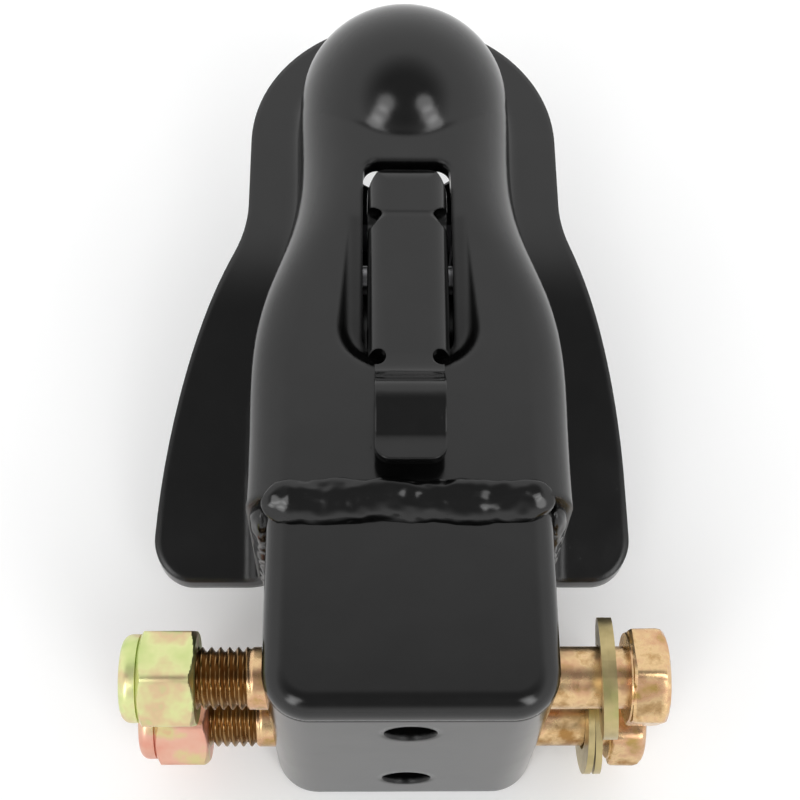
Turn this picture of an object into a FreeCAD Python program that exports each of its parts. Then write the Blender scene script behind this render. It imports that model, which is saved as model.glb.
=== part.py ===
import FreeCAD, Part
import math
import os

V = FreeCAD.Vector
X_AXIS = V(1, 0, 0)
Y_AXIS = V(0, 1, 0)
Z_AXIS = V(0, 0, 1)

# The origin is the centre of the tow ball, +Y points to the towing vehicle and +Z is up.
ball_radius = 25.4
ball_clearance = 0.6
sheet = 5.0
dome_radius = ball_radius + ball_clearance + sheet

# Pressed housing
housing_top = 20.0
ridge_edge_radius = 20.0
rear_edge_radius = 10.5
hat_far = 3.0 * dome_radius
hat_low = -hat_far - sheet
widen_start = -30.0
widen_end = -92.0
housing_rear = -134.0
flange_level = -11.5
flange_fillet = 4.0
flange_radius = 46.5
flange_center_y = -3.0
wing_start = -26.0
wing_concave_radius = 40.0
wing_convex_radius = 240.0
left_flare_angle = 25.0
right_flare_angle = 20.5
wing_end_angle = 4.0
wing_corner_radius = 11.0
wing_bend_y = -53.5
wing_bend_soft = 14.0
wing_slope = math.tan(math.radians(22.0))

# Recess and slot around the lever
slot_half_width = 12.2
slot_front = -33.0
slot_rear = -92.0
slot_corner = 4.0
recess_front = -51.0
recess_rear = -93.5
recess_depth = 4.0
recess_half_width = 16.0
recess_corner = 9.0

# Tongue tube
tube_width = 73.0
tube_gap = 0.3
tube_depth = 72.0
tube_wall = 5.0
tube_corner = 12.0
tube_rear = -188.5
cap_thickness = 6.0
cap_edge = 5.5
cap_top = housing_top - sheet
tube_height = 83.0
tube_bottom = cap_top - tube_height
rear_hole_radius = 6.75
rear_hole_drop = (18.0, 66.0)

# Channel bolts
bolt_radius = 7.9375
bolt_length = 127.0
bolt_head_height = 9.9
bolt_flats = 23.8
bolt_hole_radius = bolt_radius + 0.36
bolt_y = tube_rear + 16.5
bolt_spacing = 38.1
bolt_drop = 26.0
bolt_upper_z = cap_top - bolt_drop
bolt_head_x = 55.5
nut_hex_height = 14.2
nut_collar_height = 4.9
nut_collar_radius = 11.2
nut_end_overhang = 1.6
insert_radius = 9.4
insert_height = 4.0
thread_fit = 0.02
washer_radius = 15.5
washer_bore = 8.75
washer_thickness = 1.8
washer_sag = 0.6

# Latch lever
lever_half_width = 11.0
lever_blank_half = 20.0
lever_sheet = 3.0
lever_top = housing_top + 4.0
lever_edge = 5.5
lever_front = -35.5
lever_nose = 6.5
lever_nose_plan = 11.5
lever_rear = -97.0
lever_skirt = housing_top - 7.0
lever_heel = housing_top + 0.4
pivot_y = -64.0
pivot_z = 7.0
pivot_radius = 4.0
running_fit = 0.08
drive_drop = 20.0
drive_radius = 4.0
toe_radius = 7.0
corner_hole_y = -53.0
corner_hole_radius = 3.4
relief_radius = 2.6
relief_x = 8.6
tail_half_width = 9.0
tail_peak_rise = 8.0
tail_lip_rise = 4.0
tail_end = -128.0
tail_corner = 4.0

# Latch wedge, bracket and spring
lever_gap = 0.8
wedge_half_width = lever_half_width - lever_sheet - lever_gap
wedge_head_half_width = 11.0
wedge_nose_half_width = 15.0
wedge_nose_rear = -35.0
wedge_bottom = -24.2
wedge_head_top = -9.0
wedge_rear_top = -5.0
wedge_head_rear = -46.0
wedge_rear = -85.0
wedge_ball_gap = 0.5
notch_clearance = 1.3
slide_gap = 0.3
bracket_sheet = 3.5
bracket_gap = 1.6
bracket_front = -50.0
bracket_floor_front = -27.0
bracket_rear = -84.0
clip_radius = 5.6
clip_thickness = 1.5
spring_z = -15.0
spring_radius = 5.0
spring_wire = 0.9
spring_turns = 6
spring_steps = 14
post_radius = 3.4
post_length = 9.0
post_flange_radius = 8.0
post_flange = 3.0

# Weld beads
weld_size = 7.0


def smooth(t):
    t = max(0.0, min(1.0, t))
    return t * t * (3.0 - 2.0 * t)


def wall_half_width(y):
    rear = tube_width / 2.0 + tube_gap + sheet
    t = smooth((widen_start - y) / (widen_start - widen_end))
    return dome_radius + (rear - dome_radius) * t


def edge_radius(y):
    t = smooth((widen_start - y) / (widen_start - widen_end))
    return ridge_edge_radius + (rear_edge_radius - ridge_edge_radius) * t


def bend_drop(y):
    u = wing_bend_y - y
    return wing_slope * 0.5 * (u + math.sqrt(u * u + wing_bend_soft * wing_bend_soft))


def flange_z(y):
    return flange_level - (bend_drop(y) - bend_drop(0.0))


def face_of(edges):
    return Part.Face(Part.Wire(Part.__sortEdges__(edges)))


def polygon(points):
    return Part.Face(Part.makePolygon(points + [points[0]]))


def arc(a, b, c):
    return Part.Arc(a, b, c).toShape()


def line(a, b):
    return Part.makeLine(a, b)


def box(x0, x1, y0, y1, z0, z1):
    return Part.makeBox(x1 - x0, y1 - y0, z1 - z0, V(x0, y0, z0))


def rod_x(radius, x0, x1, y, z):
    return Part.makeCylinder(radius, x1 - x0, V(x0, y, z), X_AXIS)


def rod_y(radius, y0, y1, x, z):
    return Part.makeCylinder(radius, y1 - y0, V(x, y0, z), Y_AXIS)


def hat_section(y, inset):
    # One cross-section of the pressed hat; the inset gives its inner skin.
    w = wall_half_width(y) - inset
    r = edge_radius(y) - inset
    top = housing_top - inset
    f = flange_fillet + inset
    z = flange_z(y) - inset
    far = hat_far
    low = hat_low
    k = math.sqrt(0.5)
    right = [
        line(V(far, y, low), V(far, y, z)),
        line(V(far, y, z), V(w + f, y, z)),
        arc(V(w + f, y, z), V(w + f - f * k, y, z + f - f * k), V(w, y, z + f)),
        line(V(w, y, z + f), V(w, y, top - r)),
        arc(V(w, y, top - r), V(w - r + r * k, y, top - r + r * k), V(w - r, y, top)),
    ]
    left = [
        arc(V(-w + r, y, top), V(-w + r - r * k, y, top - r + r * k), V(-w, y, top - r)),
        line(V(-w, y, top - r), V(-w, y, z + f)),
        arc(V(-w, y, z + f), V(-w - f + f * k, y, z + f - f * k), V(-w - f, y, z)),
        line(V(-w - f, y, z), V(-far, y, z)),
        line(V(-far, y, z), V(-far, y, low)),
    ]
    middle = [line(V(w - r, y, top), V(-w + r, y, top))]
    base = [line(V(-far, y, low), V(far, y, low))]
    return Part.Wire(right + middle + left + base)


def hat_front(inset):
    # The front of the hat turns about the ball's upright axis.
    r = dome_radius - inset
    f = flange_fillet + inset
    z = flange_level - inset
    far = hat_far
    low = hat_low
    k = math.sqrt(0.5)
    edges = [
        arc(V(0, 0, r), V(r * k, 0, r * k), V(r, 0, 0)),
        line(V(r, 0, 0), V(r, 0, z + f)),
        arc(V(r, 0, z + f), V(r + f - f * k, 0, z + f - f * k), V(r + f, 0, z)),
        line(V(r + f, 0, z), V(far, 0, z)),
        line(V(far, 0, z), V(far, 0, low)),
        line(V(far, 0, low), V(0, 0, low)),
        line(V(0, 0, low), V(0, 0, r)),
    ]
    return face_of(edges).revolve(V(0, 0, 0), Z_AXIS, 180.0)


def hat(inset):
    mid = (widen_start + widen_end) / 2.0
    past = housing_rear - sheet
    stations = [0.0, widen_start / 2.0, widen_start, (widen_start + mid) / 2.0, mid,
                (mid + widen_end) / 2.0, widen_end, (widen_end + past) / 2.0, past]
    body = Part.makeLoft([hat_section(y, inset) for y in stations], True, False)
    ball = Part.makeSphere(dome_radius - inset)
    return body.fuse([hat_front(inset), ball])


def rounded_rectangle(half_width, front, rear, corner, z):
    blank = polygon([V(-half_width, rear, z), V(half_width, rear, z),
                     V(half_width, front, z), V(-half_width, front, z)])
    prism = blank.extrude(V(0, 0, 1))
    upright = [e for e in prism.Edges if abs(e.tangentAt(e.FirstParameter).z) > 0.9]
    rounded = prism.makeFillet(corner, upright)
    flat = [f for f in rounded.Faces if abs(f.CenterOfMass.z - z) < 1e-6]
    return flat[0].OuterWire


def recess_tool(inset):
    # A tapered block laid on the tilted floor: its 45 degree walls widen as the floor sinks.
    tilt = math.degrees(math.atan2(recess_depth, recess_front - recess_rear))
    rise = 14.0
    grow = inset * (math.sqrt(2.0) - 1.0)
    ahead = 12.0
    length = recess_front - recess_rear
    low = rounded_rectangle(recess_half_width + grow, ahead, -length - grow, recess_corner + grow, -inset)
    high = rounded_rectangle(recess_half_width + grow + rise, ahead + rise, -length - grow - rise,
                             recess_corner + grow + rise, rise - inset)
    tool = Part.makeLoft([low, high], True, True)
    tool.rotate(V(0, 0, 0), X_AXIS, tilt)
    tool.translate(V(0, recess_front, housing_top))
    return tool


def wing_edge(side, flare, low):
    # One side of the flange: straight beside the ball, then flaring out along the wing.
    a = math.radians(flare)
    b = math.radians(wing_end_angle)
    am = a / 2.0
    bm = (a + b) / 2.0
    x2 = flange_radius + wing_concave_radius * (1.0 - math.cos(a))
    y2 = wing_start - wing_concave_radius * math.sin(a)
    x3 = x2 + wing_convex_radius * (math.cos(b) - math.cos(a))
    y3 = y2 - wing_convex_radius * (math.sin(a) - math.sin(b))
    xm = flange_radius + wing_concave_radius * (1.0 - math.cos(am))
    ym = wing_start - wing_concave_radius * math.sin(am)
    xv = x2 + wing_convex_radius * (math.cos(bm) - math.cos(a))
    yv = y2 - wing_convex_radius * (math.sin(a) - math.sin(bm))
    front = V(side * flange_radius, flange_center_y, low)
    start = V(side * flange_radius, wing_start, low)
    join = V(side * x2, y2, low)
    last = V(side * x3, y3, low)
    # The edge runs on behind the housing, which is trimmed at its rear.
    past = min(y3, housing_rear) - wing_corner_radius
    end = V(side * (x3 + (y3 - past) * math.tan(b)), past, low)
    edges = [line(front, start), arc(start, V(side * xm, ym, low), join),
             arc(join, V(side * xv, yv, low), last), line(last, end)]
    return edges, end


def flange_outline():
    low = hat_low
    r = flange_radius
    height = 2.0 * dome_radius - hat_low
    right, right_end = wing_edge(1, right_flare_angle, low)
    left, left_end = wing_edge(-1, left_flare_angle, low)
    nose = arc(V(r, flange_center_y, low), V(0, flange_center_y + r, low), V(-r, flange_center_y, low))
    behind = line(right_end, left_end)
    prism = face_of(right + left + [nose, behind]).extrude(V(0, 0, height))
    reach = 4.0 * r
    prism = prism.common(box(-reach, reach, housing_rear, reach, low, low + height))
    corners = []
    for e in prism.Edges:
        upright = abs(e.tangentAt(e.FirstParameter).z) > 0.9
        if upright and abs(e.CenterOfMass.y - housing_rear) < 0.01:
            corners.append(e)
    return prism.makeFillet(wing_corner_radius, corners)


def slot_tool():
    wire = rounded_rectangle(slot_half_width, slot_front, slot_rear, slot_corner, -5.0)
    return Part.Face(wire).extrude(V(0, 0, 2.0 * dome_radius))


def make_housing():
    outer = hat(0.0).cut(recess_tool(0.0))
    inner = hat(sheet).cut(recess_tool(sheet))
    shell = outer.cut(inner).common(flange_outline()).cut(slot_tool())
    shell = shell.removeSplitter()
    return max(shell.Solids, key=lambda s: s.Volume)


def tube_block(grow, z0, z1, radius):
    half = tube_width / 2.0 + grow
    block = box(-half, half, tube_rear - grow, tube_rear + tube_depth + grow, z0, z1)
    upright = [e for e in block.Edges if abs(e.tangentAt(e.FirstParameter).z) > 0.9]
    return block.makeFillet(radius, upright)


def make_tube():
    top = cap_top - cap_thickness
    tube = tube_block(0.0, tube_bottom, top, tube_corner)
    bore = tube_block(-tube_wall, tube_bottom - 1.0, top + 1.0, tube_corner - tube_wall)
    tube = tube.cut(bore)
    for z in (bolt_upper_z, bolt_upper_z - bolt_spacing):
        tube = tube.cut(rod_x(bolt_hole_radius, -60, 60, bolt_y, z))
    for drop in rear_hole_drop:
        tube = tube.cut(rod_y(rear_hole_radius, tube_rear - 1, tube_rear + tube_wall + 1, 0, cap_top - drop))
    return tube


def make_cap():
    cap = tube_block(0.0, cap_top - cap_thickness, cap_top, tube_corner)
    rim = [e for e in cap.Edges if abs(e.CenterOfMass.z - cap_top) < 1e-6]
    return cap.makeFillet(cap_edge, rim)


def weld_profile(length):
    # Convex fillet bead: legs along +Z and -Y from the corner at the origin.
    s = weld_size
    k = 0.62 * s
    edges = [line(V(0, 0, 0), V(0, 0, s)),
             arc(V(0, 0, s), V(0, -k, k), V(0, -s, 0)),
             line(V(0, -s, 0), V(0, 0, 0))]
    return face_of(edges).extrude(V(length, 0, 0))


def make_top_weld():
    half = tube_width / 2.0 - cap_edge
    bead = weld_profile(2.0 * half)
    bead.translate(V(-half, housing_rear, cap_top))
    trim = box(-half, half, housing_rear - 20, housing_rear, cap_top, housing_top)
    return bead.common(trim)


def make_side_weld(side):
    # The bead runs down the tube's side behind the housing wall.
    low = flange_z(housing_rear)
    high = cap_top - cap_thickness
    half = tube_width / 2.0
    reach = tube_gap + sheet - 0.4
    drop = high - low
    edges = [line(V(half, housing_rear, low), V(half + reach, housing_rear, low)),
             arc(V(half + reach, housing_rear, low), V(half + 0.62 * reach, housing_rear - 3.6, low),
                 V(half, housing_rear - 5.8, low)),
             line(V(half, housing_rear - 5.8, low), V(half, housing_rear, low))]
    bead = face_of(edges).extrude(V(0, 0, drop))
    if side < 0:
        bead = bead.mirror(V(0, 0, 0), X_AXIS)
    return bead


def hex_prism(flats, x0, x1, y, z, turn):
    r = flats / math.sqrt(3.0)
    pts = []
    for i in range(6):
        a = math.radians(60.0 * i + turn)
        pts.append(V(x0, y + r * math.cos(a), z + r * math.sin(a)))
    prism = polygon(pts).extrude(V(x1 - x0, 0, 0))
    return prism


def chamfer_cone(flats, x_end, x_in, y, z):
    # Rounds the corners of a hexagon at its end x_end.
    step = 1.0 if x_end > x_in else -1.0
    span = abs(x_end - x_in)
    small = flats / 2.0 * 0.97
    return Part.makeCone(small + span * 1.7, small, span, V(x_in, y, z), V(step, 0, 0))


def make_bolt(z, turn):
    end = bolt_head_x - bolt_length
    shank = rod_x(bolt_radius, end, bolt_head_x, bolt_y, z)
    tip = [e for e in shank.Edges if abs(e.CenterOfMass.x - end) < 1e-6 and e.Closed]
    shank = shank.makeChamfer(1.4, tip)
    far = bolt_head_x + bolt_head_height
    head = hex_prism(bolt_flats, bolt_head_x, far, bolt_y, z, turn)
    head = head.common(chamfer_cone(bolt_flats, far, bolt_head_x - 1.0, bolt_y, z))
    return shank.fuse(head).removeSplitter()


def nut_start():
    return bolt_head_x - bolt_length - nut_end_overhang


def make_nut(z, turn):
    x0 = nut_start()
    x1 = x0 + nut_collar_height
    x2 = x1 + nut_hex_height
    body = hex_prism(bolt_flats, x1, x2, bolt_y, z, turn)
    body = body.common(chamfer_cone(bolt_flats, x2, x1 - 1.0, bolt_y, z))
    collar = rod_x(nut_collar_radius, x0, x1, bolt_y, z)
    lip = [e for e in collar.Edges if abs(e.CenterOfMass.x - x0) < 1e-6 and e.Closed]
    collar = collar.makeChamfer(1.4, lip)
    nut = body.fuse(collar)
    nut = nut.cut(rod_x(bolt_radius + thread_fit, x0 - 1, x2 + 1, bolt_y, z))
    seat = rod_x(insert_radius, x0 + 0.6, x0 + 0.6 + insert_height, bolt_y, z)
    return nut.cut(seat).removeSplitter()


def make_insert(z):
    x0 = nut_start() + 0.6
    ring = rod_x(insert_radius, x0, x0 + insert_height, bolt_y, z)
    return ring.cut(rod_x(bolt_radius + thread_fit, x0 - 1, x0 + insert_height + 1, bolt_y, z))


def make_washer(x, z, lean):
    ring = rod_x(washer_radius, 0.0, washer_thickness, 0, 0)
    ring = ring.cut(rod_x(washer_bore, -1.0, washer_thickness + 1.0, 0, 0))
    ring.rotate(V(washer_thickness / 2.0, 0, 0), Y_AXIS, lean)
    ring.translate(V(x, bolt_y, z - washer_sag))
    return ring


def lever_channel():
    w = lever_half_width
    r = lever_edge
    s = lever_sheet
    t = lever_top
    low = pivot_z - drive_drop - toe_radius - 2.0
    k = math.sqrt(0.5)
    y = lever_rear

    def profile(half, radius, top):
        edges = [line(V(-half, y, low), V(-half, y, top - radius)),
                 arc(V(-half, y, top - radius), V(-half + radius - radius * k, y, top - radius + radius * k),
                     V(-half + radius, y, top)),
                 line(V(-half + radius, y, top), V(half - radius, y, top)),
                 arc(V(half - radius, y, top), V(half - radius + radius * k, y, top - radius + radius * k),
                     V(half, y, top - radius)),
                 line(V(half, y, top - radius), V(half, y, low)),
                 line(V(half, y, low), V(-half, y, low))]
        return face_of(edges).extrude(V(0, lever_front - lever_rear + 1.0, 0))

    return profile(w, r, t).cut(profile(w - s, r - s, t - s))


def lever_side():
    # Side view of the lever: nose, skirts and the two toes that carry the drive pin.
    x = -lever_blank_half
    n = lever_nose
    k = math.sqrt(0.5)
    f = lever_front
    t = lever_top
    toe_z = pivot_z - drive_drop
    edges = [line(V(x, f, lever_skirt), V(x, f, t - n)),
             arc(V(x, f, t - n), V(x, f - n + n * k, t - n + n * k), V(x, f - n, t)),
             line(V(x, f - n, t), V(x, lever_rear, t)),
             line(V(x, lever_rear, t), V(x, lever_rear, lever_heel)),
             line(V(x, lever_rear, lever_heel), V(x, slot_rear + 5.0, lever_heel)),
             line(V(x, slot_rear + 5.0, lever_heel), V(x, slot_rear + 9.0, lever_skirt)),
             line(V(x, slot_rear + 9.0, lever_skirt), V(x, pivot_y - 10.5, lever_skirt)),
             line(V(x, pivot_y - 10.5, lever_skirt), V(x, pivot_y - toe_radius, toe_z)),
             arc(V(x, pivot_y - toe_radius, toe_z), V(x, pivot_y, toe_z - toe_radius),
                 V(x, pivot_y + toe_radius, toe_z)),
             line(V(x, pivot_y + toe_radius, toe_z), V(x, pivot_y + 10.5, lever_skirt)),
             line(V(x, pivot_y + 10.5, lever_skirt), V(x, f, lever_skirt))]
    return face_of(edges).extrude(V(2.0 * lever_blank_half, 0, 0))


def lever_plan():
    # Seen from above the nose is an arch.
    r = lever_nose_plan
    c = lever_front - r
    low = pivot_z - 2.0 * drive_drop
    far = lever_half_width + lever_sheet
    edges = [arc(V(r, c, low), V(0, c + r, low), V(-r, c, low)),
             line(V(-r, c, low), V(-far, c, low)),
             line(V(-far, c, low), V(-far, lever_rear, low)),
             line(V(-far, lever_rear, low), V(far, lever_rear, low)),
             line(V(far, lever_rear, low), V(far, c, low)),
             line(V(far, c, low), V(r, c, low))]
    return face_of(edges).extrude(V(0, 0, lever_top + sheet - low))


def tail_sheet():
    # The finger tab follows a rounded wave behind the neck.
    s = lever_sheet
    t = lever_top
    y0 = lever_rear + 1.0
    x = -lever_blank_half
    path = [V(x, y0, t), V(x, lever_rear - 5.0, t + 1.0),
            V(x, lever_rear - 12.0, t + tail_peak_rise), V(x, lever_rear - 17.0, t + tail_peak_rise),
            V(x, lever_rear - 23.0, t + tail_lip_rise + 0.8), V(x, tail_end, t + tail_lip_rise)]
    upper = Part.BSplineCurve()
    upper.interpolate(path, InitialTangent=V(0, -1, 0), FinalTangent=V(0, -1, 0.0))
    lower_path = [p - V(0, 0, s) for p in path]
    lower = Part.BSplineCurve()
    lower.interpolate(lower_path, InitialTangent=V(0, -1, 0), FinalTangent=V(0, -1, 0.0))
    edges = [upper.toShape(), lower.toShape(), line(path[0], lower_path[0]), line(path[-1], lower_path[-1])]
    sheet_body = face_of(edges).extrude(V(2.0 * lever_blank_half, 0, 0))
    plan = rounded_rectangle(tail_half_width, lever_rear + 8.0, tail_end, tail_corner, 0.0)
    return sheet_body.common(Part.Face(plan).extrude(V(0, 0, t + 2.0 * tail_peak_rise)))


def make_lever():
    lever = lever_channel().common(lever_side()).common(lever_plan())
    lever = lever.fuse(tail_sheet())
    lever = lever.cut(rod_x(corner_hole_radius, -20, 20, corner_hole_y, lever_top - 3.6))
    lever = lever.cut(rod_x(pivot_radius + running_fit, -20, 20, pivot_y, pivot_z))
    lever = lever.cut(rod_x(drive_radius + thread_fit, -20, 20, pivot_y, pivot_z - drive_drop))
    for s in (1, -1):
        relief = Part.makeCylinder(relief_radius, lever_top, V(s * relief_x, lever_rear, 5.0))
        lever = lever.cut(relief)
    return lever.removeSplitter()


def make_drive_pin():
    return rod_x(drive_radius, -lever_half_width, lever_half_width, pivot_y, pivot_z - drive_drop)


def bracket_half_width():
    return lever_half_width + bracket_gap + bracket_sheet


def make_bracket(housing):
    outer = bracket_half_width()
    inner = outer - bracket_sheet
    top = housing_top
    floor = wedge_bottom - slide_gap
    block = box(-outer, outer, bracket_rear, bracket_front, floor - bracket_sheet, top)
    bracket = block.cut(box(-inner, inner, bracket_rear - 1, bracket_front + 1, floor, top + 1))
    tongue = box(-outer, outer, bracket_front, bracket_floor_front, floor - bracket_sheet, floor)
    bracket = bracket.fuse(tongue).removeSplitter()
    bracket = bracket.cut(rod_x(pivot_radius + thread_fit, -30, 30, pivot_y, pivot_z))
    return max(bracket.cut(housing).Solids, key=lambda s: s.Volume)


def make_pivot_pin():
    far = bracket_half_width()
    pin = rod_x(pivot_radius, -far, far + clip_thickness + 1.5, pivot_y, pivot_z)
    head = rod_x(pivot_radius + 2.0, -far - 2.5, -far, pivot_y, pivot_z)
    return pin.fuse(head).removeSplitter()


def make_pivot_clip():
    far = bracket_half_width()
    clip = rod_x(clip_radius, far, far + clip_thickness, pivot_y, pivot_z)
    return clip.cut(rod_x(pivot_radius + thread_fit, far - 1, far + 4, pivot_y, pivot_z))


def make_wedge():
    w = wedge_half_width
    body = box(-w, w, wedge_rear, wedge_head_rear + 2, wedge_bottom, wedge_rear_top)
    y = wedge_head_rear
    x = -lever_blank_half
    ramp = polygon([V(x, y - 4, wedge_rear_top + 1), V(x, y - 4, wedge_rear_top),
                    V(x, y, wedge_head_top), V(x, y + 3, wedge_head_top),
                    V(x, y + 3, wedge_rear_top + 1)]).extrude(V(2.0 * lever_blank_half, 0, 0))
    head_half = wedge_head_half_width
    nose_half = wedge_nose_half_width
    head = box(-head_half, head_half, wedge_head_rear, 0, wedge_bottom, wedge_head_top)
    nose = box(-nose_half, nose_half, wedge_nose_rear, 0, wedge_bottom, wedge_head_top)
    wedge = body.cut(ramp).fuse([head, nose])
    wedge = wedge.cut(Part.makeSphere(ball_radius + wedge_ball_gap))
    # The lead-in under the tip lets the rising ball push the wedge back.
    lead = polygon([V(-20, -30.0, wedge_bottom - 1), V(-20, 2.0, wedge_bottom - 1),
                    V(-20, 2.0, wedge_bottom + 16.0)]).extrude(V(40, 0, 0))
    wedge = wedge.cut(lead)
    half = drive_radius + notch_clearance
    toe_z = pivot_z - drive_drop
    notch = box(-20, 20, pivot_y - half, pivot_y + half, toe_z, 0)
    notch = notch.fuse(rod_x(half, -20, 20, pivot_y, toe_z))
    wedge = wedge.cut(notch).removeSplitter()
    return max(wedge.Solids, key=lambda s: s.Volume)


def spring_back():
    return tube_rear + tube_depth + post_flange


def coil_section(turn, y):
    # A six-sided cut through the wire, square to the coil.
    out = V(math.cos(turn), 0, math.sin(turn))
    pts = []
    for i in range(6):
        a = math.radians(60.0 * i)
        along = V(0, y + spring_wire * math.sin(a), spring_z)
        pts.append(out * (spring_radius + spring_wire * math.cos(a)) + along)
    return Part.makePolygon(pts + [pts[0]])


def make_spring():
    front = wedge_rear - spring_wire - 0.05
    back = spring_back() + spring_wire + 0.05
    count = spring_turns * spring_steps
    cuts = []
    for i in range(count + 1):
        t = i / count
        cuts.append(coil_section(2.0 * math.pi * spring_turns * t, back + (front - back) * t))
    return Part.makeLoft(cuts, True, True)


def make_post():
    wall = tube_rear + tube_depth
    plate = rod_y(post_flange_radius, wall, spring_back(), 0, spring_z)
    stem = rod_y(post_radius, wall, spring_back() + post_length, 0, spring_z)
    return plate.fuse(stem).removeSplitter()


def save(name, shape):
    shape.exportStep("parts/" + name + ".step")
    print(name, round(shape.Volume, 1), len(shape.Solids), shape.isValid())


def main():
    os.makedirs("parts", exist_ok=True)
    housing = make_housing()
    save("housing", housing)
    save("tongue_tube", make_tube())
    save("cap_plate", make_cap())
    save("top_weld", make_top_weld())
    save("left_weld", make_side_weld(-1))
    save("right_weld", make_side_weld(1))
    save("latch_bracket", make_bracket(housing))
    save("lever_pivot_pin", make_pivot_pin())
    save("pivot_clip", make_pivot_clip())
    save("lever", make_lever())
    save("drive_pin", make_drive_pin())
    save("latch_wedge", make_wedge())
    save("latch_spring", make_spring())
    save("spring_post", make_post())
    rows = (("upper", bolt_upper_z, (-6.0, -6.0), 0.0),
            ("lower", bolt_upper_z - bolt_spacing, (0.0, -3.0), 12.0))
    for name, z, lean, turn in rows:
        save(name + "_bolt", make_bolt(z, turn))
        save(name + "_nut", make_nut(z, 30.0 - turn))
        save(name + "_nut_insert", make_insert(z))
        x = bolt_head_x - 6.4
        save(name + "_inner_washer", make_washer(x, z, lean[0]))
        step = washer_thickness / math.cos(math.radians(lean[1])) + 0.02
        if lean[0] != lean[1]:
            step = step + washer_radius * math.sin(math.radians(abs(lean[1] - lean[0])))
        save(name + "_outer_washer", make_washer(x + step, z, lean[1]))


main()
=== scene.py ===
import math

import bpy
from mathutils import Matrix, Vector, noise


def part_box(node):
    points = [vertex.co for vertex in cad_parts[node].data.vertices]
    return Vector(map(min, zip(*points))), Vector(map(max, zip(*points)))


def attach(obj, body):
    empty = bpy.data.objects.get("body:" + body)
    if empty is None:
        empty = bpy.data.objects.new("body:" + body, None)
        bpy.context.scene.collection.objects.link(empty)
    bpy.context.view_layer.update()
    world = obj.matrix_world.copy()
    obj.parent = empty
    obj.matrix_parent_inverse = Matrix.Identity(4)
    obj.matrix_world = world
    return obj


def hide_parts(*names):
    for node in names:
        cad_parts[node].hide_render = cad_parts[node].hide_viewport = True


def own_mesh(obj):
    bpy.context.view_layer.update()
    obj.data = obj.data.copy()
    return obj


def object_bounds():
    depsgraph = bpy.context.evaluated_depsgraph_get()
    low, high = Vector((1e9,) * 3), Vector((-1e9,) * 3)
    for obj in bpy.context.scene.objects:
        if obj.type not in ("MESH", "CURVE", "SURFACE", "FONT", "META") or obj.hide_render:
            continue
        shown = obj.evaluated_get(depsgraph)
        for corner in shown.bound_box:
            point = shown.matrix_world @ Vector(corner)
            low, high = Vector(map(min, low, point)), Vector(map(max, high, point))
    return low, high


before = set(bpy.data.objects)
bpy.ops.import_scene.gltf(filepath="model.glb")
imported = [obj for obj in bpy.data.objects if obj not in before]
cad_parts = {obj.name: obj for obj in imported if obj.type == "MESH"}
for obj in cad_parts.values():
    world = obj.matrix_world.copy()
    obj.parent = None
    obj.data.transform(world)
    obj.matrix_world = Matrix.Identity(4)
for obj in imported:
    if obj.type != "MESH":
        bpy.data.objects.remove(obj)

mm = 0.001
fullTurn = 2 * math.pi
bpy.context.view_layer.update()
print("stage: frame loaded")


def hexColor(code):  # sRGB hex to linear RGBA
    out = []
    for i in (0, 2, 4):
        c = int(code[i:i + 2], 16) / 255.0
        out.append(c / 12.92 if c <= 0.04045 else ((c + 0.055) / 1.055) ** 2.4)
    return (out[0], out[1], out[2], 1.0)


def perMm(sizeMm):  # pattern scale that makes features about this wide
    return 1.0 / (sizeMm * mm)


def addNode(tree, kind, inputs, settings=None, stops=()):  # sockets are linked, other inputs set
    node = tree.nodes.new(kind)
    for key, value in (settings or {}).items():
        setattr(node, key, value)
    for key, value in inputs.items():
        if isinstance(value, bpy.types.NodeSocket):
            tree.links.new(value, node.inputs[key])
        else:
            node.inputs[key].default_value = value
    if stops:
        elements = node.color_ramp.elements
        while len(elements) < len(stops):
            elements.new(0.5)
        for element, (place, code) in zip(elements, stops):
            element.position = place
            element.color = hexColor(code)
    return node.outputs


def newMaterial(name):
    material = bpy.data.materials.new(name)
    material.use_nodes = True
    tree = material.node_tree
    tree.nodes.clear()
    return material, tree, addNode(tree, "ShaderNodeTexCoord", {})["Object"]


noiseSpan = {"From Min": 0.3, "From Max": 0.7}  # most of a noise lies between these

enamelLooks = {
    "black_enamel_sprayed": {"on": ["housing", "tongue_tube", "latch_bracket"],
                             "waveMm": 0.05, "peelMm": 0.006, "edgeMm": 2.4},
    "black_enamel_sprayed_plate": {"on": ["cap_plate"], "waveMm": 0.05, "peelMm": 0.006, "edgeMm": 1.3,
                                   "panelMm": ((0.0, 27.0), (-163.0, 12.5))},  # middle and half, X then Y
    "black_enamel_dipped": {"on": ["lever"], "waveMm": 0.04, "peelMm": 0.005, "edgeMm": 0.7},
    "black_enamel_over_weld": {"on": ["top_weld", "left_weld", "right_weld"],
                               "waveMm": 0.08, "peelMm": 0.006, "edgeMm": 0.5},
}
enamelShape = {"tones": ((0.35, "060606"), (0.7, "0b0b0b")), "toneMm": 9.0, "cloudMm": 14.0,
               "rough": (0.10, 0.17), "swellMm": 16.0, "grainMm": 1.6, "nibGapMm": 4.54545,
               "nibSize": (0.02, 0.07), "nibMm": 0.02, "panelDull": 0.07, "panelSoftMm": 0.3, "ior": 1.5}


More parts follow.
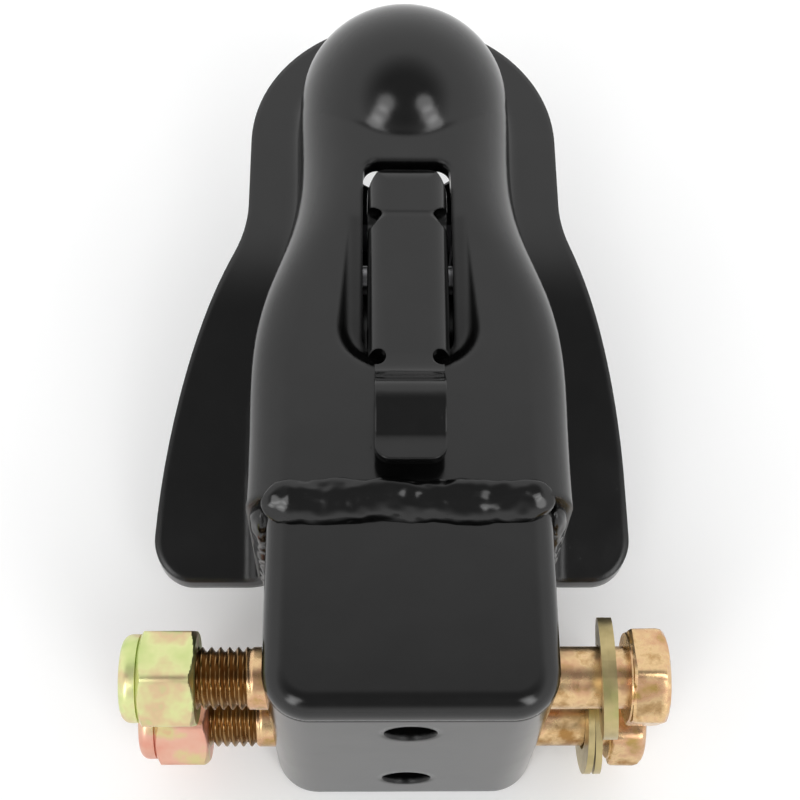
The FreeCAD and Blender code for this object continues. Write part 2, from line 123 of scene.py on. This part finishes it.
def makeEnamel(name, look):  # gloss black enamel: dark mirror, slow waves, faint orange peel, dust nibs
    shape = enamelShape
    material, tree, coords = newMaterial(name)
    tone = addNode(tree, "ShaderNodeTexNoise", {"Vector": coords, "Scale": perMm(shape["toneMm"]),
                                                "Detail": 3.0})
    color = addNode(tree, "ShaderNodeValToRGB", {"Fac": tone["Fac"]}, stops=shape["tones"])
    cloud = addNode(tree, "ShaderNodeTexNoise", {"Vector": coords, "Scale": perMm(shape["cloudMm"]),
                                                 "Detail": 4.0, "Roughness": 0.6})
    roughLow, roughHigh = shape["rough"]
    rough = addNode(tree, "ShaderNodeMapRange", {"Value": cloud["Fac"], **noiseSpan,
                                                 "To Min": roughLow, "To Max": roughHigh})["Result"]
    if "panelMm" in look:  # the bare panel of the plate is a little duller
        parts = addNode(tree, "ShaderNodeSeparateXYZ", {0: coords})
        dull = shape["panelDull"]
        for axis, (middle, half) in enumerate(look["panelMm"]):
            off = addNode(tree, "ShaderNodeMath", {0: parts[axis], 1: middle * mm}, {"operation": "SUBTRACT"})
            far = addNode(tree, "ShaderNodeMath", {0: off[0]}, {"operation": "ABSOLUTE"})
            inner, outer = (half - shape["panelSoftMm"]) * mm, (half + shape["panelSoftMm"]) * mm
            inside = addNode(tree, "ShaderNodeMapRange", {"Value": far[0], "To Min": 1.0, "To Max": 0.0,
                                                          "From Min": inner, "From Max": outer})
            dull = addNode(tree, "ShaderNodeMath", {0: inside["Result"], 1: dull},
                           {"operation": "MULTIPLY"})[0]
        rough = addNode(tree, "ShaderNodeMath", {0: dull, 1: rough}, {"operation": "ADD"})[0]
    soft = addNode(tree, "ShaderNodeBevel", {"Radius": look["edgeMm"] * mm}, {"samples": 6})
    swell = addNode(tree, "ShaderNodeTexNoise", {"Vector": coords, "Scale": perMm(shape["swellMm"]),
                                                 "Detail": 1.0})
    waved = addNode(tree, "ShaderNodeBump", {"Height": swell["Fac"], "Distance": look["waveMm"] * mm,
                                             "Normal": soft["Normal"]})
    grain = addNode(tree, "ShaderNodeTexNoise", {"Vector": coords, "Scale": perMm(shape["grainMm"])})
    peeled = addNode(tree, "ShaderNodeBump", {"Height": grain["Fac"], "Distance": look["peelMm"] * mm,
                                              "Normal": waved["Normal"]})
    specks = addNode(tree, "ShaderNodeTexVoronoi", {"Vector": coords, "Scale": perMm(shape["nibGapMm"])})
    nibIn, nibOut = shape["nibSize"]
    nib = addNode(tree, "ShaderNodeMapRange", {"Value": specks["Distance"], "To Min": 1.0, "To Max": 0.0,
                                               "From Min": nibIn, "From Max": nibOut})
    dusty = addNode(tree, "ShaderNodeBump", {"Height": nib["Result"], "Distance": shape["nibMm"] * mm,
                                             "Normal": peeled["Normal"]})
    shader = addNode(tree, "ShaderNodeBsdfPrincipled", {"IOR": shape["ior"], "Base Color": color["Color"],
                                                        "Roughness": rough, "Normal": dusty["Normal"]})
    addNode(tree, "ShaderNodeOutputMaterial", {"Surface": shader["BSDF"]})
    return material


zincLooks = {
    "yellow_zinc_rolled": {"on": ["upper_bolt", "lower_bolt"],
                           "driftMm": 8.0, "detail": 6.0, "rough": (0.2, 0.34),
                           "tones": ((0.32, "a27a48"), (0.45, "dcbc8e"), (0.56, "cda27e"), (0.68, "b09256"))},
    "yellow_zinc_cut": {"on": [], "driftMm": 11.0, "detail": 3.0, "rough": (0.24, 0.38),
                        "tones": ((0.3, "7f5f3a"), (0.5, "9a7b52"), (0.7, "8a6d45"))},
    "yellow_zinc_forged_green": {"on": ["upper_nut"], "driftMm": 11.0, "detail": 3.0, "rough": (0.30, 0.44),
                                 "tones": ((0.3, "c3d28a"), (0.5, "d9dc9f"),
                                           (0.64, "d8bd96"), (0.78, "b5d088"))},
    "yellow_zinc_forged_pink": {"on": ["lower_nut"], "driftMm": 11.0, "detail": 3.0, "rough": (0.30, 0.44),
                                "tones": ((0.3, "dd9e8a"), (0.5, "e0b09b"),
                                          (0.62, "d3c68f"), (0.76, "d68f80"))},
    "yellow_zinc_stamped": {"on": ["upper_inner_washer", "upper_outer_washer",
                                   "lower_inner_washer", "lower_outer_washer"],
                            "driftMm": 11.0, "detail": 3.0, "rough": (0.28, 0.42),
                            "tones": ((0.3, "a39468"), (0.5, "bfae80"), (0.7, "aca66f"))},
}
zincShape = {"cloudMm": 5.0, "grainMm": 0.8, "reliefMm": 0.02}


def makeZinc(name, look):  # yellow zinc plate, chromated: gold metal with drifting green and pink
    shape = zincShape
    material, tree, coords = newMaterial(name)
    drift = addNode(tree, "ShaderNodeTexNoise", {"Vector": coords, "Scale": perMm(look["driftMm"]),
                                                 "Detail": look["detail"], "Roughness": 0.55})
    color = addNode(tree, "ShaderNodeValToRGB", {"Fac": drift["Fac"]}, stops=look["tones"])
    cloud = addNode(tree, "ShaderNodeTexNoise", {"Vector": coords, "Scale": perMm(shape["cloudMm"]),
                                                 "Detail": 4.0})
    roughLow, roughHigh = look["rough"]
    rough = addNode(tree, "ShaderNodeMapRange", {"Value": cloud["Fac"], **noiseSpan,
                                                 "To Min": roughLow, "To Max": roughHigh})
    grain = addNode(tree, "ShaderNodeTexNoise", {"Vector": coords, "Scale": perMm(shape["grainMm"]),
                                                 "Detail": 3.0, "Roughness": 0.6})
    relief = addNode(tree, "ShaderNodeBump", {"Height": grain["Fac"], "Distance": shape["reliefMm"] * mm})
    shader = addNode(tree, "ShaderNodeBsdfPrincipled", {"Metallic": 1.0, "Base Color": color["Color"],
                                                        "Roughness": rough["Result"],
                                                        "Normal": relief["Normal"]})
    addNode(tree, "ShaderNodeOutputMaterial", {"Surface": shader["BSDF"]})
    return material


plainLooks = {
    "steel_turned": {"on": ["lever_pivot_pin", "pivot_clip", "drive_pin", "spring_post"],
                     "tones": ((0.3, "8a8a8c"), (0.7, "a6a6a8")), "metal": 1.0, "rough": (0.25, 0.4),
                     "grainMm": 2.0, "reliefMm": 0.01},
    "iron_cast": {"on": ["latch_wedge"], "tones": ((0.3, "2c2c2e"), (0.7, "3d3d40")), "metal": 1.0,
                  "rough": (0.5, 0.7), "grainMm": 1.2, "reliefMm": 0.05},
    "spring_steel_drawn": {"on": ["latch_spring"], "tones": ((0.3, "55565a"), (0.7, "707278")), "metal": 1.0,
                           "rough": (0.3, 0.45), "grainMm": 1.5, "reliefMm": 0.01},
    "nylon_moulded": {"on": ["upper_nut_insert", "lower_nut_insert"],
                      "tones": ((0.3, "c9c8bd"), (0.7, "d8d7cd")), "metal": 0.0, "rough": (0.4, 0.55),
                      "grainMm": 2.5, "reliefMm": 0.01},
}


def makePlain(name, look):  # turned, cast, drawn or moulded: one fine grain in colour, gloss and relief
    material, tree, coords = newMaterial(name)
    grain = addNode(tree, "ShaderNodeTexNoise", {"Vector": coords, "Scale": perMm(look["grainMm"]),
                                                 "Detail": 3.0, "Roughness": 0.6})
    color = addNode(tree, "ShaderNodeValToRGB", {"Fac": grain["Fac"]}, stops=look["tones"])
    roughLow, roughHigh = look["rough"]
    rough = addNode(tree, "ShaderNodeMapRange", {"Value": grain["Fac"], **noiseSpan,
                                                 "To Min": roughLow, "To Max": roughHigh})
    relief = addNode(tree, "ShaderNodeBump", {"Height": grain["Fac"], "Distance": look["reliefMm"] * mm})
    shader = addNode(tree, "ShaderNodeBsdfPrincipled", {"Metallic": look["metal"],
                                                        "Base Color": color["Color"],
                                                        "Roughness": rough["Result"],
                                                        "Normal": relief["Normal"]})
    addNode(tree, "ShaderNodeOutputMaterial", {"Surface": shader["BSDF"]})
    return material


materials = {}
for makeLook, looks in ((makeEnamel, enamelLooks), (makeZinc, zincLooks), (makePlain, plainLooks)):
    for lookName, look in looks.items():
        materials[lookName] = makeLook(lookName, look)
        for nodeName in look["on"]:
            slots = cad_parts[nodeName].data.materials
            slots.clear()
            slots.append(materials[lookName])
print("stage: materials made, frame dressed")


def meshPiece(name, verts, faces, material):
    mesh = bpy.data.meshes.new(name)
    mesh.from_pydata(verts, [], faces)
    mesh.validate()
    obj = bpy.data.objects.new(name, mesh)
    bpy.context.collection.objects.link(obj)
    mesh.materials.append(material)
    for face in mesh.polygons:
        face.use_smooth = True
    return obj


def skinRings(rings, loop=False, flip=False):  # quads between rings, and back to the first in a loop
    around = len(rings[0])
    faces = []
    for k in range(len(rings) if loop else len(rings) - 1):
        a = k * around
        b = (k + 1) % len(rings) * around
        for i in range(around):
            j = (i + 1) % around
            faces.append((a + i, b + i, b + j, a + j) if flip else (a + i, a + j, b + j, b + i))
    return [point for ring in rings for point in ring], faces


def turns(count):  # equal angles round a full turn
    return [fullTurn * i / count for i in range(count)]


def rodPoint(place, radius, turn, axis):  # a point round a rod along X, in metres
    y, z = axis
    return (place * mm, (y + radius * math.cos(turn)) * mm, (z + radius * math.sin(turn)) * mm)


def rodSpan(node):  # ends of a rod along X and its axis, in mm
    low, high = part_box(node)
    return low.x / mm, high.x / mm, ((low.y + high.y) / 2 / mm, (low.z + high.z) / 2 / mm)


hexShape = {"flats": 23.8, "blunt": 0.35, "sides": 96, "sharpDeg": 28.0}


def hexReach(turn, turnDeg):  # distance to the sides of a hexagon with slightly blunt corners
    off = (turn - math.radians(turnDeg)) % (math.pi / 3) - math.pi / 6
    return min(hexShape["flats"] / 2 / math.cos(off), hexShape["flats"] / math.sqrt(3) - hexShape["blunt"])


boltShape = {
    "turnDeg": {"upper_bolt": 41.0, "lower_bolt": 12.0},
    "radius": 7.9375, "around": 48, "tip": 1.4,
    "pitch": 2.309, "steps": 10, "depth": 1.25, "grooveHalf": 0.44, "rootFlat": 1.15,
    "threadEnd": -41.0, "fade": 0.6, "runOut": 2.0, "afterThread": 1.0, "beforeSeat": 0.6,
    "headHeight": 9.9,  # head rings: distance from seat or top, limit on radius, inset from the flats
    "underHead": ((0.0, 0.4, 0.0), (0.0, 11.3, 0.0), (0.4, 11.5, 0.0), (0.5, 99.0, 0.55), (1.2, 99.0, 0.12)),
    "overHead": ((2.6, 99.0, 0.0), (1.3, 13.0, 0.1), (0.4, 12.0, 0.4), (0.0, 11.2, 0.8), (0.0, 0.4, 0.0)),
}


def makeBolt(node, turnDeg):  # hex bolt with a cut thread on its far end
    shape = boltShape
    x0, x1, axis = rodSpan(node)
    seat = x1 - shape["headHeight"]
    shankStart = shape["threadEnd"] + shape["runOut"]
    places = []
    x = x0
    while x < shankStart:
        places.append(x)
        x += shape["pitch"] / shape["steps"]
    places += [shankStart + shape["afterThread"], 0.0, seat - shape["beforeSeat"], seat]
    shank = []
    for place in places:
        fade = min(1.0, max(0.0, (shape["threadEnd"] - place) / shape["pitch"] + shape["fade"]))
        tip = max(0.0, shape["tip"] - (place - x0))
        ring = []
        for turn in turns(shape["around"]):
            phase = (place / shape["pitch"] - turn / fullTurn) % 1.0
            groove = max(0.0, 1.0 - abs(phase - 0.5) / shape["grooveHalf"])
            cut = shape["depth"] * min(1.0, groove * shape["rootFlat"]) * fade
            ring.append(rodPoint(place, shape["radius"] - max(cut, tip), turn, axis))
        shank.append(ring)
    verts, faces = skinRings(shank)
    faces.append(tuple(reversed(range(shape["around"]))))
    levels = [(seat + up, limit, inset) for up, limit, inset in shape["underHead"]]
    levels += [(x1 - down, limit, inset) for down, limit, inset in shape["overHead"]]
    sides = turns(hexShape["sides"])
    head = []
    for place, limit, inset in levels:
        radii = [min(hexReach(turn, turnDeg) - inset, limit) for turn in sides]
        head.append([rodPoint(place, radius, turn, axis) for radius, turn in zip(radii, sides)])
    headVerts, headFaces = skinRings(head)
    headFaces.append(tuple(range(len(headVerts) - len(sides), len(headVerts))))
    faces += [tuple(len(verts) + i for i in face) for face in headFaces]
    obj = meshPiece(node + "_threaded", verts + headVerts, faces, materials["yellow_zinc_rolled"])
    obj.data.set_sharp_from_angle(angle=math.radians(hexShape["sharpDeg"]))
    obj.data.materials.append(materials["yellow_zinc_cut"])
    for face in obj.data.polygons:
        face.material_index = 1 if face.center.x < shape["threadEnd"] * mm else 0
    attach(obj, "coupler")
    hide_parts(node)


for boltNode, boltTurn in boltShape["turnDeg"].items():
    makeBolt(boltNode, boltTurn)
print("stage: bolts threaded")


nutShape = {"turnDeg": {"upper_nut": 47.0, "lower_nut": 55.0},
            "finish": {"upper_nut": "yellow_zinc_forged_green", "lower_nut": "yellow_zinc_forged_pink"},
            "bore": 8.0, "collarHeight": 4.9, "collarRadius": 11.2, "lip": 2.6,
            "groove": 0.45, "grooveStart": 0.5, "grooveFloor": 0.2,
            "chamferDeg": 30.0, "chamferRadius": 11.4, "chamferDepth": 1.35, "steps": 6}


def makeNut(node, turnDeg):  # forged lock nut: rounded collar, groove, hex chamfered at both ends
    shape = nutShape
    x0, x2, axis = rodSpan(node)
    x1 = x0 + shape["collarHeight"]
    collar, lip, steps = shape["collarRadius"], shape["lip"], shape["steps"]
    groove = collar - shape["groove"]
    levels = [(x0, shape["bore"])]
    for k in range(steps + 1):
        a = k / steps * math.pi / 2
        levels.append((x0 + lip * (1.0 - math.cos(a)), collar - lip + lip * math.sin(a)))
    levels += [(x1 - shape["grooveStart"], collar), (x1 - shape["grooveFloor"], groove), (x1, groove)]
    slope = 1.0 / math.tan(math.radians(shape["chamferDeg"]))
    depths = [shape["chamferDepth"] * k / steps for k in range(steps + 1)]
    levels += [(x1 + depth, shape["chamferRadius"] + depth * slope) for depth in depths]
    levels += [(x2 - depth, shape["chamferRadius"] + depth * slope) for depth in reversed(depths)]
    levels.append((x2, shape["bore"]))
    sides = turns(hexShape["sides"])
    rings = []
    for place, limit in levels:
        rings.append([rodPoint(place, min(hexReach(turn, turnDeg), limit), turn, axis) for turn in sides])
    verts, faces = skinRings(rings, loop=True)
    obj = meshPiece(node + "_forged", verts, faces, materials[shape["finish"][node]])
    obj.data.set_sharp_from_angle(angle=math.radians(hexShape["sharpDeg"]))
    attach(obj, "coupler")
    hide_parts(node)


for nutNode, nutTurn in nutShape["turnDeg"].items():
    makeNut(nutNode, nutTurn)
print("stage: nuts forged")


beadShape = {"rows": 280, "around": 36, "endMm": 8.0, "endLeast": 0.02,
             "lumpMm": 11.0, "lump": 0.26, "lumpRound": 0.9,
             "grainMm": 3.0, "grain": 0.07, "grainRound": 2.4,
             "rippleMm": 5.2, "ripple": 0.007, "rippleLean": 1.6,
             "swayBack": 1.1, "swayBackRate": 0.592, "swayLift": 0.5, "swayLiftRate": 0.777}
topRun = {"tiltDeg": 32.0, "pastLeft": 6.5, "pastRight": 5.5, "behind": 1.0, "above": 2.1,
          "rise": 2.6, "reach": 5.6, "seed": 4.1}
sideRun = {"outward": 1.0, "behind": 0.5, "pastTop": 2.0, "rise": 3.6, "reach": 4.8, "seed": 11.0}


def pathNoise(place, seed):  # smooth noise along a path of its own for each seed
    return noise.noise(Vector((place + seed, seed * 1.7, 0.31)))


def ringNoise(place, turn, wide):  # smooth noise that meets itself round a ring
    return noise.noise(Vector((place, math.cos(turn) * wide, math.sin(turn) * wide)))


def makeBead(node, start, end, lift, back, run, seed):  # lumpy weld bead along a line
    shape = beadShape
    along = (end - start).length
    rings = []
    for k in range(shape["rows"] + 1):
        t = k / shape["rows"]
        s = t * along
        lumps = s / shape["lumpMm"]
        close = min(1.0, min(t, 1.0 - t) * along / shape["endMm"])
        taper = math.sqrt(max(shape["endLeast"], 1.0 - (1.0 - close) ** 2))
        swayBack = shape["swayBack"] * pathNoise(lumps * shape["swayBackRate"], seed + 5.0)
        swayLift = shape["swayLift"] * pathNoise(lumps * shape["swayLiftRate"], seed + 9.0)
        base = start.lerp(end, t) + back * swayBack + lift * swayLift
        ring = []
        for turn in turns(shape["around"]):
            lump = shape["lump"] * ringNoise(lumps + seed, turn, shape["lumpRound"])
            grain = shape["grain"] * ringNoise(s / shape["grainMm"] + seed, turn, shape["grainRound"])
            lean = shape["rippleLean"] * math.sin(turn)
            ripple = shape["ripple"] * math.sin(fullTurn * (s + lean) / shape["rippleMm"])
            grow = (1.0 + lump + ripple + grain) * taper
            up, out = run["rise"] * grow * math.cos(turn), run["reach"] * grow * math.sin(turn)
            ring.append(tuple((base + lift * up + back * out) * mm))
        rings.append(ring)
    verts, faces = skinRings(rings, flip=True)
    faces.append(tuple(range(shape["around"])))
    faces.append(tuple(reversed(range(len(verts) - shape["around"], len(verts)))))
    obj = meshPiece(node + "_bead", verts, faces, materials["black_enamel_over_weld"])
    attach(obj, "coupler")
    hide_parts(node)


topLow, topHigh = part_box("top_weld")
backY, baseZ = topHigh.y / mm, topLow.z / mm
tilt = math.radians(topRun["tiltDeg"])
topLift = Vector((0, -math.sin(tilt), math.cos(tilt)))
topBack = Vector((0, -math.cos(tilt), -math.sin(tilt)))
topY, topZ = backY - topRun["behind"], baseZ + topRun["above"]
topStart = Vector((topLow.x / mm - topRun["pastLeft"], topY, topZ))
topEnd = Vector((topHigh.x / mm + topRun["pastRight"], topY, topZ))
makeBead("top_weld", topStart, topEnd, topLift, topBack, topRun, topRun["seed"])
for side, sideNode in ((-1, "left_weld"), (1, "right_weld")):
    low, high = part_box(sideNode)
    sideX = (high.x if side < 0 else low.x) / mm + side * sideRun["outward"]
    sideY = backY - sideRun["behind"]
    sideStart = Vector((sideX, sideY, low.z / mm))
    sideEnd = Vector((sideX, sideY, high.z / mm + sideRun["pastTop"]))
    sideLift, sideBack = Vector((side, 0, 0)), Vector((0, -1, 0))
    makeBead(sideNode, sideStart, sideEnd, sideLift, sideBack, sideRun, sideRun["seed"] + side)
print("stage: weld beads laid")


springShape = {"turns": 6, "steps": 24, "around": 12, "wire": 0.9, "keep": 0.545}


def makeSpring(node):  # drawn wire coil along Y, as long as the spring part
    shape = springShape
    low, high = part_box(node)
    wire = shape["wire"]
    coil = (high.x - low.x) / 2 / mm - wire
    z = (low.z + high.z) / 2 / mm
    first, last = low.y / mm + wire, high.y / mm - wire
    count = shape["turns"] * shape["steps"]
    rings = []
    for k in range(count + 1):
        turn = fullTurn * shape["turns"] * k / count
        y = first + (last - first) * k / count
        ring = []
        for a in turns(shape["around"]):
            radius = coil + wire * math.cos(a)
            place = Vector((radius * math.cos(turn), y + wire * math.sin(a), z + radius * math.sin(turn)))
            ring.append(tuple(place * mm))
        rings.append(ring)
    verts, faces = skinRings(rings)
    faces.append(tuple(reversed(range(shape["around"]))))
    faces.append(tuple(range(len(verts) - shape["around"], len(verts))))
    obj = meshPiece(node + "_coil", verts, faces, materials["spring_steel_drawn"])
    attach(obj, "coupler")
    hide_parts(node)
    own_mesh(obj)


makeSpring("latch_spring")
print("stage: spring coiled")


floorShape = {"half": 4.0, "belowMm": 0.5,
              "tones": ((0.3, "f2f2f2"), (0.7, "f4f4f4")), "toneMm": 400.0, "glow": 0.14}
white = hexColor("ffffff")


def makeFloor():  # pale seamless paper: matt, and a little lit from behind
    shape = floorShape
    h = shape["half"]
    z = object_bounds()[0].z - shape["belowMm"] * mm
    material, tree, coords = newMaterial("paper_seamless")
    tone = addNode(tree, "ShaderNodeTexNoise", {"Vector": coords, "Scale": perMm(shape["toneMm"])})
    color = addNode(tree, "ShaderNodeValToRGB", {"Fac": tone["Fac"]}, stops=shape["tones"])
    matt = addNode(tree, "ShaderNodeBsdfDiffuse", {"Color": color["Color"]})
    glow = addNode(tree, "ShaderNodeEmission", {"Color": white, "Strength": shape["glow"]})
    both = addNode(tree, "ShaderNodeAddShader", {0: matt[0], 1: glow[0]})
    addNode(tree, "ShaderNodeOutputMaterial", {"Surface": both[0]})
    obj = meshPiece("floor_paper", [(-h, -h, z), (h, -h, z), (h, h, z), (-h, h, z)], [(0, 1, 2, 3)], material)


skyShape = {
    "tent": 1.14,
    "opening": ((0.0, -0.40, 0.917), (0.57, 0.93), -0.86),  # direction, cosines at outer and inner edge, glow
    "boxEdges": (0.982, 0.992), "boxGlow": 2.8,
    "boxes": ((30.0, 0.36), (42.0, 0.45), (54.0, 0.54)),  # degrees back from upright, and reach to the side
}


def makeWorld():  # bright tent, a dim opening above and behind, soft boxes on both sides of the opening
    shape = skyShape
    patches = [shape["opening"]]
    for side in (-1, 1):
        for backDeg, aside in shape["boxes"]:
            lean, rest = math.radians(backDeg), math.sqrt(1.0 - aside * aside)
            direction = (side * aside, -rest * math.sin(lean), rest * math.cos(lean))
            patches.append((direction, shape["boxEdges"], shape["boxGlow"]))
    world = bpy.data.worlds.new("studio_tent")
    bpy.context.scene.world = world
    world.use_nodes = True
    tree = world.node_tree
    tree.nodes.clear()
    toward = addNode(tree, "ShaderNodeTexCoord", {})["Generated"]
    level = shape["tent"]
    for direction, (outer, inner), glow in patches:
        facing = addNode(tree, "ShaderNodeVectorMath", {0: toward, 1: Vector(direction).normalized()},
                         {"operation": "DOT_PRODUCT"})
        patch = addNode(tree, "ShaderNodeMapRange", {"Value": facing["Value"], "To Min": 0.0, "To Max": glow,
                                                     "From Min": outer, "From Max": inner},
                        {"interpolation_type": "SMOOTHSTEP"})
        level = addNode(tree, "ShaderNodeMath", {0: level, 1: patch["Result"]}, {"operation": "ADD"})[0]
    tent = addNode(tree, "ShaderNodeBackground", {"Color": white, "Strength": level})
    plain = addNode(tree, "ShaderNodeBackground", {"Color": white, "Strength": 1.0})
    seen = addNode(tree, "ShaderNodeLightPath", {})["Is Camera Ray"]
    mixed = addNode(tree, "ShaderNodeMixShader", {0: seen, 1: tent[0], 2: plain[0]})
    addNode(tree, "ShaderNodeOutputWorld", {"Surface": mixed[0]})


cameraShape = {"eyeMm": (-10.9, -283.5, 368.7), "downDeg": 63.23, "yawDeg": 2.75, "rollDeg": -2.57,
               "focalPx": 1517.6, "framePx": 800.0, "sensorMm": 36.0, "clipStart": 0.01}


def makeCamera():  # the photograph's viewpoint
    shape = cameraShape
    dip, yaw, roll = (math.radians(shape[key]) for key in ("downDeg", "yawDeg", "rollDeg"))
    forward = Vector((math.sin(yaw) * math.cos(dip), math.cos(yaw) * math.cos(dip), -math.sin(dip)))
    right = Vector((math.cos(yaw), -math.sin(yaw), 0.0))
    down = forward.cross(right)
    turnRight = right * math.cos(roll) + down * math.sin(roll)
    turnDown = down * math.cos(roll) - right * math.sin(roll)
    data = bpy.data.cameras.new("photo_camera")
    data.sensor_width = shape["sensorMm"]
    data.lens = shape["focalPx"] / shape["framePx"] * shape["sensorMm"]
    data.clip_start = shape["clipStart"]
    cam = bpy.data.objects.new("photo_camera", data)
    bpy.context.collection.objects.link(cam)
    axes = Matrix((turnRight, -turnDown, -forward)).transposed().to_4x4()
    cam.matrix_world = Matrix.Translation(Vector(shape["eyeMm"]) * mm) @ axes
    bpy.context.scene.camera = cam


makeFloor()
makeWorld()
makeCamera()
bpy.context.scene.view_settings.view_transform = "Standard"
print("stage: studio ready")
